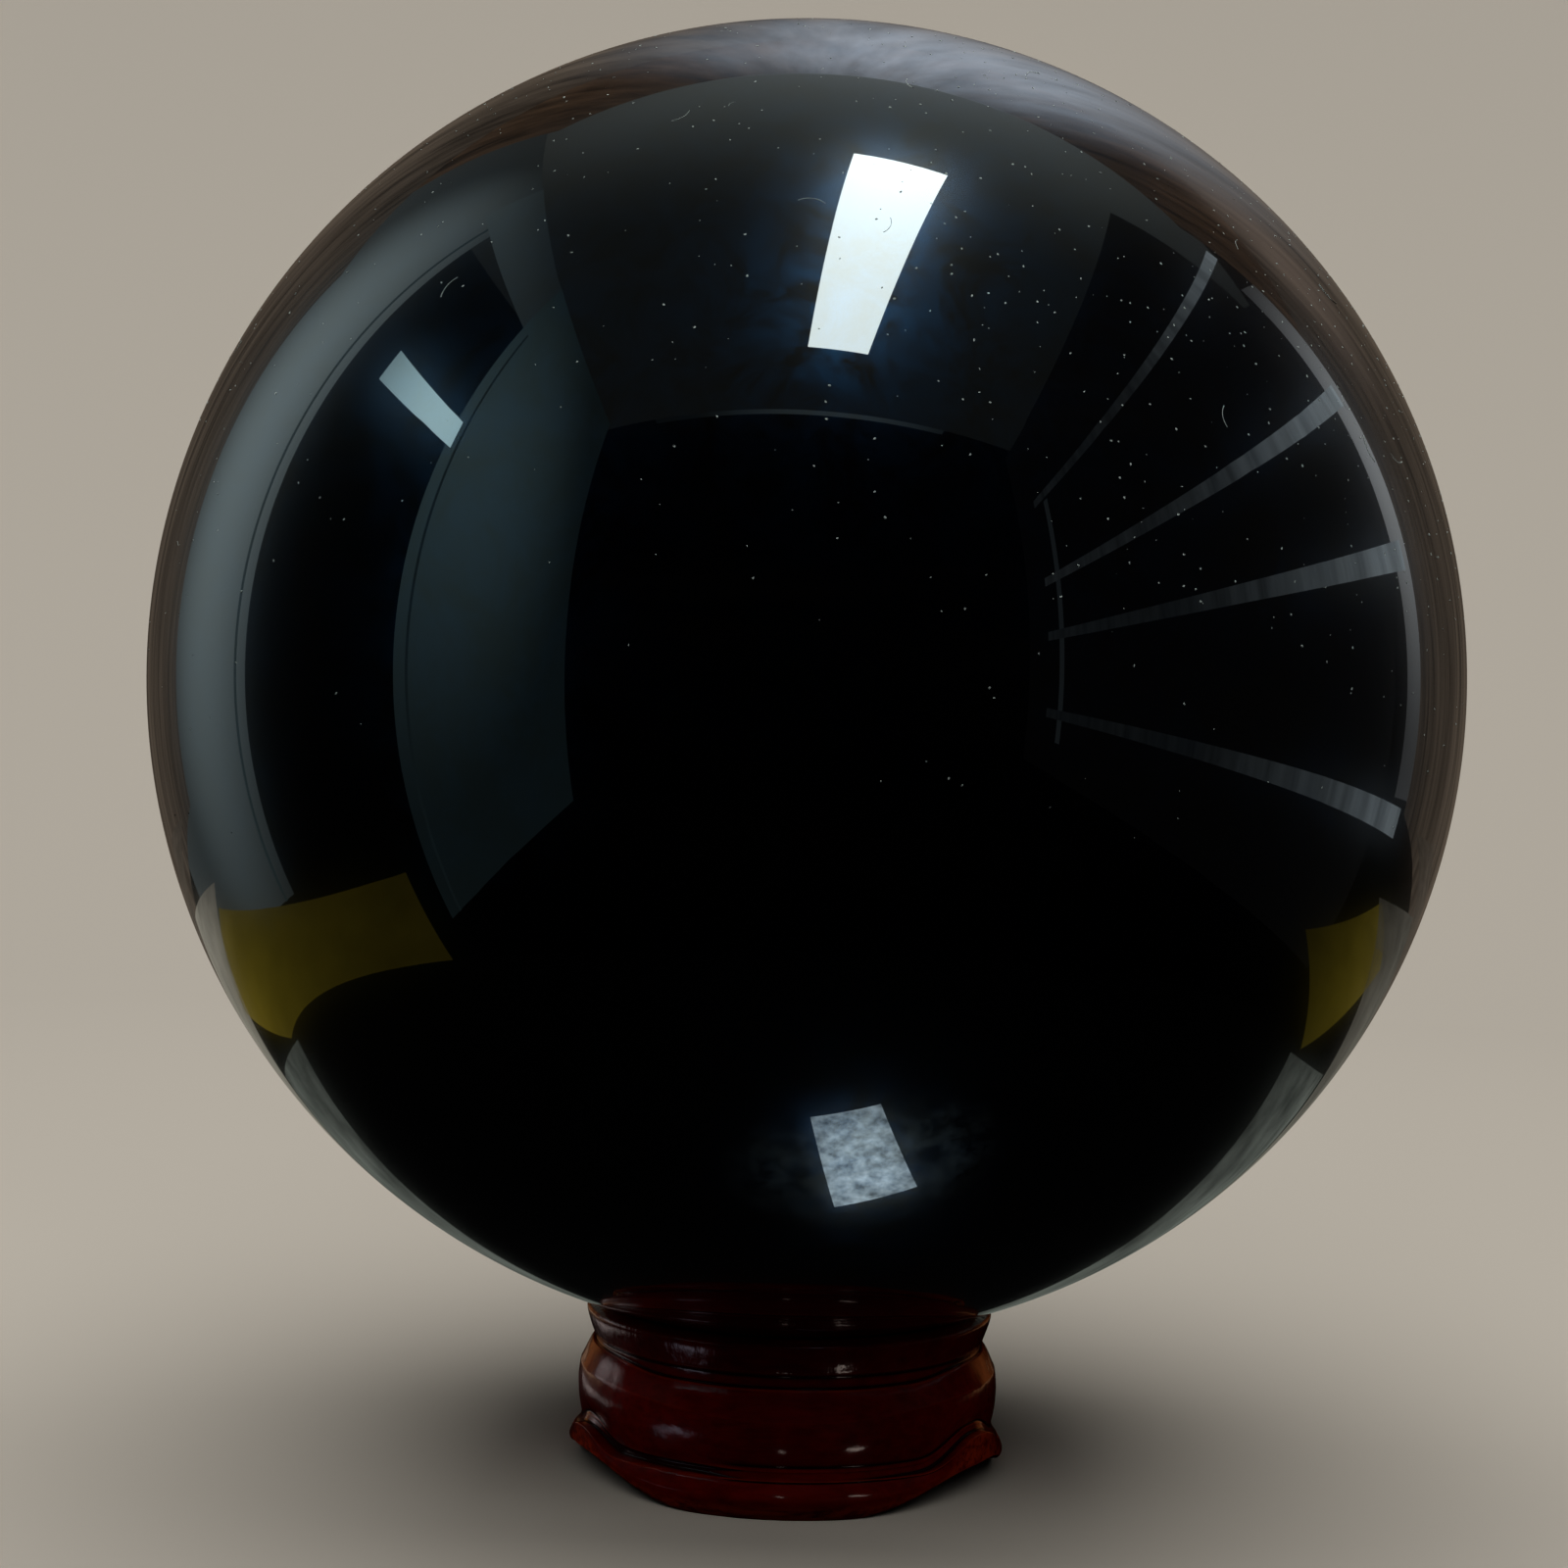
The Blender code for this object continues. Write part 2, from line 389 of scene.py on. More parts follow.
class OBSIDIAN_OT_dust(bpy.types.Operator):
    """Dust grains and lint hairs that have settled on the polish"""

    bl_idname = "obsidian.dust"
    bl_label = "Dust and lint"

    def execute(self, context):
        sizes = context.scene.obsidian_dust
        material = settled_dust(sizes)
        grain = model_grain(sizes.grain_length)
        grains = scatter("dust_grains", grain, sizes.grains, sizes.seed, material)
        hair = model_hair(sizes.hair_length)
        hairs = scatter("lint_hairs", hair, sizes.hairs, sizes.seed + 1, material)
        deselect_all()
        hairs.select_set(True)
        grains.select_set(True)
        bpy.context.view_layer.objects.active = grains
        bpy.ops.object.join()
        dust = name_new("dust_and_lint")
        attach(dust, "root")
        return {"FINISHED"}


def model_grain(size):
    """One flat, angular crumb, lying on its flat side."""
    deselect_all()
    bpy.ops.mesh.primitive_ico_sphere_add(subdivisions=1, radius=size / 2)
    grain = name_new("dust_grain")
    bpy.ops.object.mode_set(mode="EDIT")
    bpy.ops.mesh.select_all(action="SELECT")
    bpy.ops.transform.resize(value=(1, 0.6, 0.4))
    bpy.ops.transform.vertex_random(offset=size * 0.1, seed=3)
    bpy.ops.object.mode_set(mode="OBJECT")
    return grain


def model_hair(size):
    """One fine lint hair: a six-sided thread along X, bent sideways as it lies. It is about three times as
    thick as real lint, which wouldn't show."""
    lengths = 10
    deselect_all()
    bpy.ops.mesh.primitive_circle_add(
        vertices=6,
        radius=0.033 * MM,
        fill_type="NGON",
        location=(-size / 2, 0, 0),
        rotation=(0, math.pi / 2, 0),
    )
    hair = name_new("lint_hair")
    bpy.ops.object.mode_set(mode="EDIT")
    bpy.ops.mesh.select_all(action="SELECT")
    for _ in range(lengths):
        bpy.ops.mesh.extrude_region_move()
        bpy.ops.transform.translate(value=(size / lengths, 0, 0))
    bpy.ops.object.mode_set(mode="OBJECT")
    settle(hair)
    bend = hair.modifiers.new("bend", "SIMPLE_DEFORM")
    bend.deform_method = "BEND"
    bend.deform_axis = "Z"
    bend.angle = math.radians(75)
    apply_modifiers(hair)
    return hair


def dustiness(normal):
    """Dust settles mostly on the upper half, more on one side and in loose patches."""
    if max(abs(part) for part in normal) > DUST_LIMIT:
        return 0
    settled = ease((normal.z - DUST_LOWEST) / DUST_FADE)
    swept = SWEPT_SHARE + (1 - SWEPT_SHARE) * ease((normal.x - SWEPT_EDGE) / SWEPT_FADE)
    patch = 0.5 + 0.5 * noise.noise(normal * PATCH_SCALE)
    return settled * swept * patch


def scatter(name, speck, density, seed, material):
    """Copies of one speck over the ball, with its own turn and size each, as one mesh."""
    deselect_all()
    bpy.ops.mesh.primitive_ico_sphere_add(subdivisions=6, radius=BALL_RADIUS, location=BALL_CENTRE)
    bed = name_new(name)
    settle(bed)
    mask = bed.data.attributes.new("dustiness", "FLOAT", "POINT")
    normals = [(vertex.co - BALL_CENTRE).normalized() for vertex in bed.data.vertices]
    mask.data.foreach_set("value", [dustiness(normal) for normal in normals])
    tree = bpy.data.node_groups.new(name, "GeometryNodeTree")
    tree.interface.new_socket("Geometry", in_out="INPUT", socket_type="NodeSocketGeometry")
    tree.interface.new_socket("Geometry", in_out="OUTPUT", socket_type="NodeSocketGeometry")
    surface = node(tree, "NodeGroupInput")
    share = node(tree, "GeometryNodeInputNamedAttribute", {"Name": "dustiness"}).outputs["Attribute"]
    thick = node(tree, "ShaderNodeMath", {0: share, 1: density}, operation="MULTIPLY")
    points = node(
        tree, "GeometryNodeDistributePointsOnFaces", {"Mesh": surface, "Density": thick, "Seed": seed}
    )
    spin = node(tree, "FunctionNodeRandomValue", {"Max": (0, 0, 2 * math.pi)}, data_type="FLOAT_VECTOR")
    turned = node(
        tree,
        "FunctionNodeRotateRotation",
        {"Rotation": points.outputs["Rotation"], "Rotate By": spin},
        rotation_space="LOCAL",
    )
    size = node(tree, "FunctionNodeRandomValue", {2: 0.45, 3: 1.5})
    copies = node(
        tree,
        "GeometryNodeInstanceOnPoints",
        {
            "Points": points,
            "Instance": node(tree, "GeometryNodeObjectInfo", {"Object": speck}).outputs["Geometry"],
            "Rotation": turned,
            "Scale": size,
        },
    )
    joined = node(tree, "GeometryNodeRealizeInstances", {"Geometry": copies})
    painted = node(tree, "GeometryNodeSetMaterial", {"Geometry": joined, "Material": material})
    node(tree, "NodeGroupOutput", {"Geometry": painted})
    bed.modifiers.new(name, "NODES").node_group = tree
    apply_modifiers(bed)
    bpy.data.objects.remove(speck)
    return bed


def settled_dust(sizes):
    """Household dust, settled: matt and pale, so that each speck stands out against the black polish."""
    material = new_material("household_dust_settled")
    tree = material.node_tree
    shader = node(
        tree,
        "ShaderNodeBsdfPrincipled",
        {"Base Color": sizes.tint, "Roughness": 0.9, "Sheen Weight": 0.4, "Specular IOR Level": 0.2},
    )
    node(tree, "ShaderNodeOutputMaterial", {"Surface": shader})
    return material


class OBSIDIAN_OT_stand(bpy.types.Operator):
    """Low wooden ring, turned, carved between its feet and lacquered dark red"""

    bl_idname = "obsidian.stand"
    bl_label = "Ring stand"

    def execute(self, context):
        sizes = context.scene.obsidian_stand
        deselect_all()
        turn_ring(turned_profile(BALL_CENTRE.z, BALL_RADIUS + SEAT_CLEARANCE), sizes.segments)
        stand = name_new("lacquered_stand")
        carve(stand)
        smooth = stand.modifiers.new("smooth", "SUBSURF")
        smooth.levels = 2
        smooth.render_levels = 2
        apply_modifiers(stand)
        add_hand_work(stand, sizes.unevenness)
        apply_modifiers(stand)
        bpy.ops.object.shade_smooth()
        mark_bends(stand)
        stand.data.materials.append(lacquered_wood(sizes))
        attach(stand, "root")
        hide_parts("wooden_stand")
        return {"FINISHED"}


def turned_profile(ball_height, seat_sphere):
    """The stand's section as radius and height: over the rim, down the outside, in under it and up the bore
    to the dished seat, which is part of a sphere round the ball's centre."""

    def seat(radius):
        return ball_height - math.sqrt(seat_sphere**2 - radius**2)

    lip = arc((RIM_RADIUS - LIP_RADIUS, RIM_HEIGHT), (LIP_RADIUS, LIP_RADIUS), 95, -5, 4)
    wall = [
        (RIM_RADIUS - 0.2 * MM, RIM_HEIGHT - 0.9 * MM),
        (RIM_FOOT_RADIUS + 0.22 * MM, RIM_FOOT_HEIGHT + 0.7 * MM),
        (RIM_FOOT_RADIUS + 0.02 * MM, RIM_FOOT_HEIGHT + 0.1 * MM),
        (RIM_FOOT_RADIUS - 0.1 * MM, RIM_FOOT_HEIGHT - 0.08 * MM),
        (NOTCH_RADIUS + 0.05 * MM, NOTCH_HEIGHT + 0.1 * MM),
        (NOTCH_RADIUS, NOTCH_HEIGHT - 0.1 * MM),
        (NOTCH_RADIUS, NOTCH_FLOOR_HEIGHT + 0.08 * MM),
        (NOTCH_RADIUS + 0.08 * MM, NOTCH_FLOOR_HEIGHT),
    ]
    band = [
        (SHOULDER_RADIUS - 0.12 * MM, SHOULDER_HEIGHT + 0.03 * MM),
        (SHOULDER_RADIUS + 0.02 * MM, SHOULDER_HEIGHT - 0.04 * MM),
        (SHOULDER_RADIUS + 0.12 * MM, SHOULDER_HEIGHT - 0.2 * MM),
        (23.36 * MM, 13.75 * MM),
        (23.76 * MM, 12.85 * MM),
        (EDGE_RADIUS - 0.14 * MM, EDGE_HEIGHT + 0.24 * MM),
        (EDGE_RADIUS - 0.02 * MM, EDGE_HEIGHT + 0.03 * MM),
        (EDGE_RADIUS + 0.05 * MM, EDGE_HEIGHT - 0.2 * MM),
    ]
    barrel = [(24.38 * MM, 10.95 * MM)]
    barrel += arc((BELLY_RADIUS - 1.5 * MM, BELLY_HEIGHT), (1.5 * MM, 5.4 * MM), 0, -50, 6)
    groove = [
        (23.82 * MM, 5.45 * MM),
        (23.72 * MM, 5.22 * MM),
        (GROOVE_RADIUS, GROOVE_HEIGHT - 0.05 * MM),
        (GROOVE_RADIUS + 0.06 * MM, GROOVE_HEIGHT - 0.5 * MM),
    ]
    skirt = [
        (23.75 * MM, SKIRT_TOP + 0.1 * MM),
        (24.12 * MM, SKIRT_TOP + 0.02 * MM),
        (24.38 * MM, SKIRT_TOP - 0.1 * MM),
        (24.58 * MM, SKIRT_TOP - 0.32 * MM),
        (24.86 * MM, 3.42 * MM),
        (25.13 * MM, 2.88 * MM),
        (FOOT_RADIUS - 0.01 * MM, FOOT_HEIGHT),
        (FOOT_RADIUS - 0.03 * MM, 1.75 * MM),
        (25.1 * MM, 1.15 * MM),
        (HEEL_RADIUS, HEEL_HEIGHT - 0.1 * MM),
        (SOLE_RADIUS + 0.2 * MM, 0.1 * MM),
        (SOLE_RADIUS, 0),
        (SOLE_RADIUS - 0.5 * MM, 0),
    ]
    sole = [(21.6 * MM, 0), (18.8 * MM, 0), (BORE_RADIUS + 0.6 * MM, 0)]
    bore = [
        (BORE_RADIUS, 0.5 * MM),
        (BORE_RADIUS, 5 * MM),
        (BORE_RADIUS, CREST_FADE_HEIGHT),
        (BORE_RADIUS, seat(BORE_RADIUS) - 0.7 * MM),
        (BORE_RADIUS + 0.25 * MM, seat(BORE_RADIUS + 0.25 * MM) - 0.05 * MM),
    ]
    dish = [(radius * MM, seat(radius * MM)) for radius in (17.2, 18.6, 20.0, 21.2)]
    brim = [(SEAT_RADIUS + 0.25 * MM, seat(SEAT_RADIUS) + 0.02 * MM)]
    return [*lip, *wall, *band, *barrel, *groove, *skirt, *sole, *bore, *dish, *brim]


def turn_ring(profile, segments):
    """A ring with the section of a closed profile. Its last circle is bridged to its first."""
    radius, height = profile[0]
    bpy.ops.mesh.primitive_circle_add(vertices=segments, radius=radius, location=(0, 0, height))
    settle(bpy.context.object)
    bpy.ops.object.mode_set(mode="EDIT")
    bpy.ops.mesh.select_all(action="SELECT")
    extrude_rings(profile)
    bpy.ops.mesh.select_mode(type="EDGE")
    bpy.ops.mesh.select_all(action="DESELECT")
    bpy.ops.mesh.select_non_manifold(extend=False)
    bpy.ops.mesh.bridge_edge_loops()
    bpy.ops.mesh.select_mode(type="VERT")
    bpy.ops.mesh.select_all(action="SELECT")
    bpy.ops.mesh.normals_make_consistent(inside=False)
    bpy.ops.object.mode_set(mode="OBJECT")


def arch_lift(radius, angle, height):
    """How far the arches raise a point, and its share of the full arch there."""
    best = (0, 0)
    for middle, width, crest_width, crest_rise in ARCHES:
        turn = abs(math.remainder(angle - middle, 2 * math.pi))
        across = radius * math.sin(min(turn, math.pi / 2))
        share = ease((width - across) / (width - ARCH_CROWN))
        crest = ease((crest_width - across) / (crest_width - CREST_CROWN)) * crest_rise
        if height < SKIRT_TOP:
            up = height / SKIRT_TOP
            lift = (1 - up) * share * ARCH_RISE + up * crest
        else:
            lift = crest * ease((CREST_FADE_HEIGHT - height) / (CREST_FADE_HEIGHT - SKIRT_TOP))
        best = max(best, (lift, share))
    return best


def front_dip(angle, height):
    """How far a point of the belly was cut lower over the front foot."""
    turn = abs(math.remainder(math.degrees(angle) - DIP_ANGLE, 360))
    shoulder_dip = SHOULDER_DIP * ease((SHOULDER_DIP_REACH - turn) / SHOULDER_DIP_FADE)
    edge_dip = EDGE_DIP * ease(1 - turn / EDGE_DIP_REACH)
    if height > NOTCH_FLOOR_HEIGHT + 0.05 * MM:
        return shoulder_dip * ease((NOTCH_HEIGHT - height) / (NOTCH_HEIGHT - NOTCH_FLOOR_HEIGHT))
    if height > EDGE_HEIGHT:
        share = (NOTCH_FLOOR_HEIGHT - height) / (NOTCH_FLOOR_HEIGHT - EDGE_HEIGHT)
        return shoulder_dip + (edge_dip - shoulder_dip) * share
    return edge_dip * ease((height - GROOVE_HEIGHT) / (EDGE_HEIGHT - GROOVE_HEIGHT))


def groove_fill(angle, radius, height):
    """Weight that moves a point of the groove under the belly out towards a straight slope from the belly to
    the skirt. The groove was cut deep only beside the front foot, on its left."""
    share = (BELLY_END_HEIGHT - height) / (BELLY_END_HEIGHT - SKIRT_TOP)
    slope = BELLY_END_RADIUS + (SKIRT_TOP_RADIUS - BELLY_END_RADIUS) * share
    if not (GROOVE_RADIUS - 0.1 * MM < radius < slope and 0 < share < 1):
        return 0
    turn = abs(math.remainder(math.degrees(angle) - GROOVE_ANGLE, 360))
    left_uncut = GROOVE_UNCUT * ease((turn - GROOVE_REACH) / GROOVE_FADE)
    return left_uncut * (slope - radius) / (FOOT_RADIUS - radius)


def weigh(piece, name, weights):
    """A vertex group from one weight for each vertex."""
    group = piece.vertex_groups.new(name=name)
    for index, weight in enumerate(weights):
        if weight > 0:
            group.add([index], weight, "REPLACE")


def carve(stand):
    """Weights and modifiers for what was carved into the turned ring: its arches, the dip over its front foot
    and its groove. Each point also gets a mark for how far its lacquer is rubbed, which the colour lightens:
    wear, and a painted highlight where the feet catch light from below."""
    weights = {"arch_lift": [], "arch_share": [], "front_dip": [], "groove_fill": []}
    worn = []
    for vertex in stand.data.vertices:
        height = vertex.co.z
        radius = math.hypot(vertex.co.x, vertex.co.y)
        angle = math.atan2(vertex.co.y, vertex.co.x)
        lift, share = arch_lift(radius, angle, height)
        on_skirt = height < GROOVE_HEIGHT and radius > ARCH_WALL_RADIUS
        outside = radius > NOTCH_RADIUS - 0.3 * MM
        weights["arch_lift"].append(lift / MOST_LIFT)
        weights["arch_share"].append(share if on_skirt else 0)
        weights["front_dip"].append(front_dip(angle, height) / MOST_LIFT if outside else 0)
        weights["groove_fill"].append(groove_fill(angle, radius, height))
        # Rubbed lacquer near the table and on high crests, painted lighter: wear and painted highlight
        rubbed = max(ease((RUBBED_HEIGHT - height) / RUBBED_FADE), ease((lift - RUBBED_LIFT) / RUBBED_LIFT))
        worn.append(rubbed if radius > SOLE_RADIUS - 0.2 * MM else 0)
    for name, values in weights.items():
        weigh(stand, name, values)
    stand.data.attributes.new("worn", "FLOAT", "POINT").data.foreach_set("value", worn)
    for name, size in (("groove_fill", FOOT_RADIUS), ("arch_share", ARCH_WALL_RADIUS)):
        press = stand.modifiers.new(name, "CAST")
        press.cast_type = "CYLINDER"
        press.use_z = False
        press.size = size
        press.factor = 1
        press.vertex_group = name
    for name, strength in (("arch_lift", MOST_LIFT), ("front_dip", -MOST_LIFT)):
        shift = stand.modifiers.new(name, "DISPLACE")
        shift.direction = "Z"
        shift.strength = strength
        shift.mid_level = 0
        shift.vertex_group = name


def add_hand_work(stand, unevenness):
    """Long soft ripples over the outside. The sole and the seat stay true."""
    weights = []
    for vertex in stand.data.vertices:
        radius = math.hypot(vertex.co.x, vertex.co.y)
        off_sole = ease((vertex.co.z - RIPPLE_HEIGHT) / RIPPLE_HEIGHT_FADE)
        off_seat = ease((radius - RIPPLE_RADIUS) / RIPPLE_RADIUS_FADE)
        weights.append(off_sole * off_seat)
    weigh(stand, "hand_work", weights)
    ripples = bpy.data.textures.new("carving_ripples", "CLOUDS")
    ripples.noise_scale = 7 * MM
    ripples.noise_depth = 2
    ripple = stand.modifiers.new("carving_ripples", "DISPLACE")
    ripple.texture = ripples
    ripple.strength = unevenness
    ripple.mid_level = 0.5
    ripple.vertex_group = "hand_work"


def mark_bends(stand):
    """Stores how the surface bends at each vertex: 1 on sharp edges, -1 in sharp hollows, 0 if flat."""
    mesh = stand.data
    bends = [0.0] * len(mesh.vertices)
    counts = [0] * len(mesh.vertices)
    for edge in mesh.edges:
        first, second = (mesh.vertices[index] for index in edge.vertices)
        along = second.co - first.co
        bend = (second.normal - first.normal).dot(along) / along.length_squared
        for index in edge.vertices:
            bends[index] += bend
            counts[index] += 1
    values = [max(-1, min(1, bend / count * MM)) for bend, count in zip(bends, counts)]
    mesh.attributes.new("bend", "FLOAT", "POINT").data.foreach_set("value", values)


def lacquered_wood(sizes):
    """Softwood, stained and dipped in thick red lacquer. The hollows are painted almost black: painted shade,
    with the lacquer that pools there. The edges are painted orange-red: painted highlights, with the lacquer
    that runs thin there. Its glossy skin keeps the chatter of the lathe tool."""
    material = new_material("wood_dipped_in_red_lacquer")
    tree = material.node_tree
    place = node(tree, "ShaderNodeTexCoord").outputs["Object"]
    height = node(tree, "ShaderNodeSeparateXYZ", {"Vector": place}).outputs["Z"]
    tone = lacquer_tone(tree, place, height, sizes)
    dimple = node(
        tree, "ShaderNodeTexNoise", {"Vector": place, "Scale": 1 / (2.4 * MM), "Detail": 3, "Roughness": 0.5}
    )
    upright = node(tree, "ShaderNodeMapping", {"Vector": place, "Scale": (1, 1, 0.06)})
    chatter = node(tree, "ShaderNodeTexNoise", {"Vector": upright, "Scale": 1 / (0.8 * MM), "Detail": 2})
    on_rim = node(
        tree,
        "ShaderNodeMapRange",
        {
            "Value": height,
            "From Min": RIM_FOOT_HEIGHT - 1.1 * MM,
            "From Max": RIM_FOOT_HEIGHT - 0.1 * MM,
            "To Min": 0.12,
            "To Max": 1,
        },
    )
    skin = node(tree, "ShaderNodeMath", {0: chatter, 1: on_rim, 2: dimple}, operation="MULTIPLY_ADD")
    bump = node(tree, "ShaderNodeBump", {"Height": skin, "Strength": 1, "Distance": 0.085 * MM})
    rubbed = node(tree, "ShaderNodeMapRange", {"Value": dimple, "To Min": 0.25, "To Max": 0.5})
    shader = node(
        tree,
        "ShaderNodeBsdfPrincipled",
        {
            "Base Color": tone,
            "Roughness": rubbed,
            "IOR": 1.45,
            "Specular IOR Level": 0.08,
            "Coat Weight": 1,
            "Coat Roughness": 0.12,
            "Coat IOR": 1.5,
            "Normal": bump,
            "Coat Normal": bump,
        },
    )
    node(tree, "ShaderNodeOutputMaterial", {"Surface": shader})
    return material


def lacquer_tone(tree, place, height, sizes):
    """The lacquer's colour: clouds of two reds with the wood's darker pores in them, painted shade in the
    hollows with the pooled lacquer, and painted highlights in the thin lacquer's colour, broken up on the
    edges and on the feet's rubbed parts. These are kept off the rim's top, which stays dark as painted shade
    under the ball."""
    bend = node(tree, "ShaderNodeAttribute", attribute_name="bend").outputs["Fac"]
    cloud = node(
        tree, "ShaderNodeTexNoise", {"Vector": place, "Scale": 1 / (8 * MM), "Detail": 5, "Roughness": 0.6}
    )
    depth = node(tree, "ShaderNodeMapRange", {"Value": cloud, "From Min": 0.32, "From Max": 0.68})
    body = node(tree, "ShaderNodeMix", {0: depth, 6: sizes.deep, 7: sizes.middle}, data_type="RGBA")
    along_grain = node(tree, "ShaderNodeMapping", {"Vector": place, "Scale": (0.12, 1, 1)})
    grain = node(
        tree,
        "ShaderNodeTexNoise",
        {"Vector": along_grain, "Scale": 1 / (0.9 * MM), "Detail": 4, "Roughness": 0.7},
    )
    pores = node(
        tree,
        "ShaderNodeMapRange",
        {"Value": grain, "From Min": 0.35, "From Max": 0.6, "To Min": 0.6, "To Max": 1},
    )
    grained = node(tree, "ShaderNodeMix", {0: 1, 6: body, 7: pores}, data_type="RGBA", blend_type="MULTIPLY")
    # Painted shade: the hollows darken towards the pooled colour
    hollow = node(tree, "ShaderNodeMapRange", {"Value": bend, "From Min": -0.05, "From Max": -0.6})
    pooled_and_shaded = node(tree, "ShaderNodeMix", {0: hollow, 6: grained, 7: sizes.pool}, data_type="RGBA")
    # Painted highlight: the edges lighten towards the thin lacquer's colour
    thin = node(tree, "ShaderNodeMapRange", {"Value": bend, "From Min": 0.2, "From Max": 1.3})
    broken = node(tree, "ShaderNodeMath", {0: thin, 1: depth}, operation="MULTIPLY")
    # The rubbed mark: wear, with a painted highlight on the feet
    foot = node(tree, "ShaderNodeAttribute", attribute_name="worn").outputs["Fac"]
    patchy = node(tree, "ShaderNodeMapRange", {"Value": grain, "From Min": 0.4, "From Max": 0.56})
    worn = node(tree, "ShaderNodeMath", {0: foot, 1: patchy}, operation="MULTIPLY")
    edges = node(tree, "ShaderNodeMath", {0: broken, 1: worn}, operation="MAXIMUM")
    # Painted shade: the rim's top gets no lighter edge colour, so it stays dark as if in the ball's shade
    below_shaded_top = node(
        tree,
        "ShaderNodeMapRange",
        {"Value": height, "From Min": RIM_HEIGHT - 0.2 * MM, "From Max": RIM_HEIGHT - 1 * MM},
    )
    painted_highlight_and_wear = node(tree, "ShaderNodeMath", {0: edges, 1: below_shaded_top}, operation="MULTIPLY")
    # Painted highlights and wear in the thin lacquer's colour, over the painted shade
    return node(tree, "ShaderNodeMix", {0: painted_highlight_and_wear, 6: pooled_and_shaded, 7: sizes.clear}, data_type="RGBA")


class OBSIDIAN_OT_stage(bpy.types.Operator):
    """Pale floor and wall, soft lights and the camera"""

    bl_idname = "obsidian.stage"
    bl_label = "Stage"

    def execute(self, context):
        sizes = context.scene.obsidian_stage
        make_floor(sizes)
        make_lights(sizes)
        make_camera()
        world = bpy.data.worlds.new("dark_studio")
        world.use_nodes = True
        background = world.node_tree.nodes["Background"]
        background.inputs["Color"].default_value = linear("#1c1f22")
        background.inputs["Strength"].default_value = 0.05
        context.scene.world = world
        context.scene.view_settings.view_transform = "Standard"
        return {"FINISHED"}


def painted_board(sizes):
    """Painted board, matt: even and pale."""
    material = new_material("board_painted_matt")
    tree = material.node_tree
    shader = node(tree, "ShaderNodeBsdfDiffuse", {"Color": sizes.floor})
    node(tree, "ShaderNodeOutputMaterial", {"Surface": shader})
    return material


def make_floor(sizes):
    """A round floor that curves up into a wall. As in a dark studio, the ball's mirror shows neither, and no
    light comes back from them to the stand."""
    deselect_all()
    bpy.ops.mesh.primitive_circle_add(vertices=128, radius=sizes.floor_radius, fill_type="NGON")
    floor = name_new("floor")
    deselect_all()
    bpy.ops.mesh.primitive_circle_add(vertices=128, radius=sizes.floor_radius)
    wall = name_new("wall")
    bpy.ops.object.mode_set(mode="EDIT")
    bpy.ops.mesh.select_all(action="SELECT")
    curve = sizes.wall_curve
    extrude_rings(arc((sizes.floor_radius, curve), (curve, curve), -90, 0, 33))
    bpy.ops.mesh.select_all(action="SELECT")
    bpy.ops.mesh.normals_make_consistent(inside=True)
    bpy.ops.object.mode_set(mode="OBJECT")
    bpy.ops.object.shade_smooth()
    wall.visible_shadow = False
    board = painted_board(sizes)
    for made in (floor, wall):
        made.data.materials.append(board)
        made.visible_diffuse = False
        made.visible_glossy = False


def lit_diffuser(
    tint, brightness, middle=(0, 0, 0), reach=(FAR, FAR, FAR), ends=1, pleats=0, fold=0.05, sheer=False
):
    """A diffuser, lit from behind. Its glow fades from the middle to the ends' share at its reach, and soft
    pleats cross it, so that its reflection isn't an even fill. A sheer one lets what is behind show."""
    material = new_material("diffuser_lit_from_behind")
    tree = material.node_tree
    place = node(tree, "ShaderNodeTexCoord").outputs["Object"]
    offset = node(
        tree,
        "ShaderNodeMapping",
        {"Vector": place, "Location": BALL_CENTRE + Vector(middle), "Scale": reach},
        vector_type="TEXTURE",
    )
    away = node(tree, "ShaderNodeVectorMath", {0: offset}, operation="LENGTH")
    glow = node(
        tree,
        "ShaderNodeMapRange",
        {"Value": away, "To Min": brightness, "To Max": brightness * ends},
        interpolation_type="SMOOTHSTEP",
    )
    flattened = node(tree, "ShaderNodeMapping", {"Vector": place, "Scale": (1, 1, 0.12)})
    folds = node(
        tree, "ShaderNodeTexNoise", {"Vector": flattened, "Scale": 1 / fold, "Detail": 4, "Roughness": 0.6}
    )
    pleated = node(
        tree,
        "ShaderNodeMapRange",
        {
            "Value": folds,
            "From Min": 0.3,
            "From Max": 0.7,
            "To Min": 1 - pleats,
            "To Max": 1 + pleats,
        },
    )
    strength = node(tree, "ShaderNodeMath", {0: glow, 1: pleated}, operation="MULTIPLY")
    clipped = node(tree, "ShaderNodeMath", {0: strength, 1: 0}, operation="MAXIMUM")
    lit = node(tree, "ShaderNodeEmission", {"Color": linear(tint), "Strength": clipped})
    if sheer:
        lit = node(tree, "ShaderNodeAddShader", {0: lit, 1: node(tree, "ShaderNodeBsdfTransparent")})
    node(tree, "ShaderNodeOutputMaterial", {"Surface": lit})
    return material


def light_only(lamp, lit):
    """Links a lamp or a card to the pieces that it lights, given by name."""
    group = bpy.data.collections.new(lamp.name)
    for name in lit:
        group.objects.link(bpy.data.objects[name])
    lamp.light_linking.receiver_collection = group


def finish_card(made, lit, tint, brightness, **fading):
    """Finishes a flat shape as a glowing card, which the camera doesn't see and only a mirror shows."""
    settle(made)
    made.data.materials.append(lit_diffuser(tint, brightness, **fading))
    made.visible_camera = False
    made.visible_diffuse = False
    made.visible_shadow = False
    light_only(made, lit)


